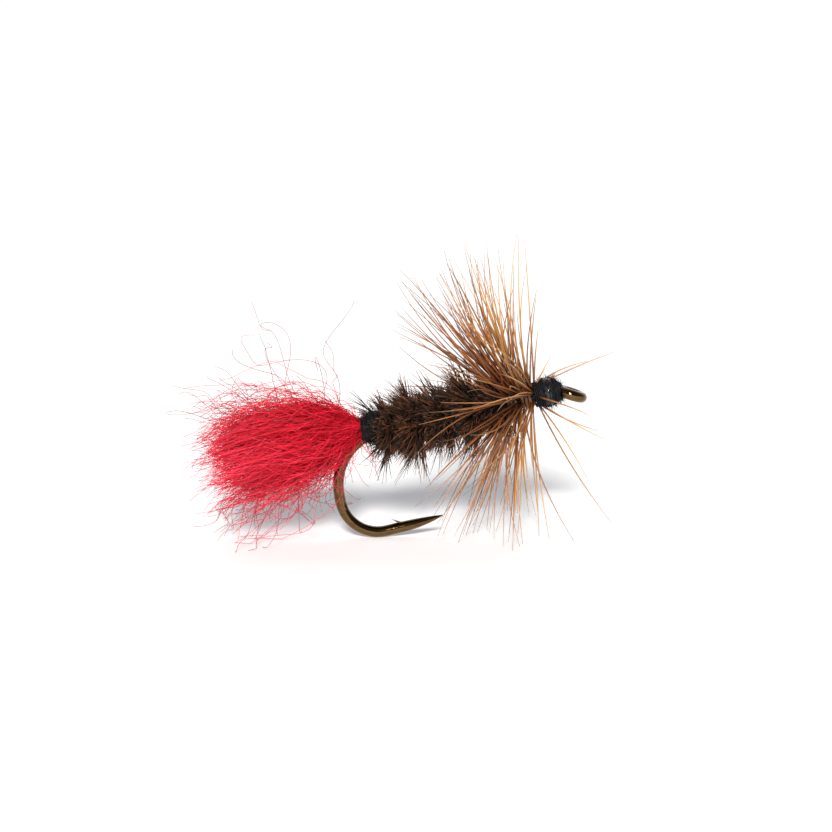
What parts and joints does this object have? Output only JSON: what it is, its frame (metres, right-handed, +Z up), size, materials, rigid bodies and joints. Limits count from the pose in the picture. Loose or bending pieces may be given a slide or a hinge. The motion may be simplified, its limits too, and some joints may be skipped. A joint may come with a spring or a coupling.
{
  "type": "dry fly",
  "caption": "Dry fly on a barbed down-eyed hook: frizzy red wool tail, dark bushy herl body, brown and ginger wound hackle, black thread head.",
  "frame": {"origin": "under the middle of the fly's bounding box, on the surface that it stands on", "axes": "+X towards the head and the hook's eye, +Z up, +Y to the fly's left"},
  "size_m": [0.0218, 0.0178, 0.0163],
  "materials": {
    "hook_bronze": "bronzed high-carbon steel wire under a clear amber lacquer",
    "tying_thread": "waxed black tying thread",
    "varnish": "clear head varnish over black thread",
    "red_wool": "crimson wool yarn, combed out into loose frizzy fibres",
    "herl": "dark bronze-brown herl with dense short flue",
    "brown_hackle": "natural red-brown cock hackle, stiff and glossy",
    "ginger_hackle": "golden ginger cock hackle, stiff and glossy"
  },
  "bodies": {
    "fly": {"hook": "hook_bronze", "thread_base": "tying_thread", "tail_tie_wraps": "tying_thread", "tail_wool_butt": "red_wool", "herl_strand_1": "herl", "herl_strand_2": "herl", "herl_strand_3": "herl", "herl_tie_off_wraps": "tying_thread", "brown_hackle_stem": "brown_hackle", "ginger_hackle_stem": "ginger_hackle", "hackle_stem_butts": "ginger_hackle", "hackle_tie_wraps": "tying_thread", "head_underwraps": "tying_thread", "head_wraps": "tying_thread", "head_cement": "varnish", "whip_finish": "tying_thread"},
    "tail_neck": {"tail_wool_root": "red_wool"},
    "tail_fan": {"tail_wool_brush": "red_wool"},
    "hackle_top": {"brown_barbs_top": "brown_hackle", "ginger_barbs_top": "ginger_hackle"},
    "hackle_right": {"brown_barbs_right": "brown_hackle", "ginger_barbs_right": "ginger_hackle"},
    "hackle_bottom": {"brown_barbs_bottom": "brown_hackle", "ginger_barbs_bottom": "ginger_hackle"},
    "hackle_left": {"brown_barbs_left": "brown_hackle", "ginger_barbs_left": "ginger_hackle"}
  },
  "joints": [
    {"name": "tail_lift", "type": "hinge", "parent": "fly", "child": "tail_neck", "pos_m": [-0.00195, 0, 0.00656], "axis": [0, 1, 0], "range_deg": [-7, 30], "stiffness_Nm_per_rad": 0.0001},
    {"name": "tail_sway", "type": "hinge", "parent": "tail_neck", "child": "tail_fan", "pos_m": [-0.00292, 0, 0.00635], "axis": [-0.2079, 0, 0.9781], "range_deg": [-25, 25], "stiffness_Nm_per_rad": 0.0001},
    {"name": "hackle_top", "type": "hinge", "parent": "fly", "child": "hackle_top", "pos_m": [0.00684, 0, 0.00821], "axis": [0, -1, 0], "range_deg": [-12, 20], "stiffness_Nm_per_rad": 0.0001},
    {"name": "hackle_right", "type": "hinge", "parent": "fly", "child": "hackle_right", "pos_m": [0.00695, -0.00051, 0.00771], "axis": [0.2079, 0, -0.9781], "range_deg": [-12, 20], "stiffness_Nm_per_rad": 0.0001},
    {"name": "hackle_bottom", "type": "hinge", "parent": "fly", "child": "hackle_bottom", "pos_m": [0.00705, 0, 0.00722], "axis": [0, 1, 0], "range_deg": [-12, 20], "stiffness_Nm_per_rad": 0.0001},
    {"name": "hackle_left", "type": "hinge", "parent": "fly", "child": "hackle_left", "pos_m": [0.00695, 0.00051, 0.00771], "axis": [-0.2079, 0, 0.9781], "range_deg": [-12, 20], "stiffness_Nm_per_rad": 0.0001}
  ]
}
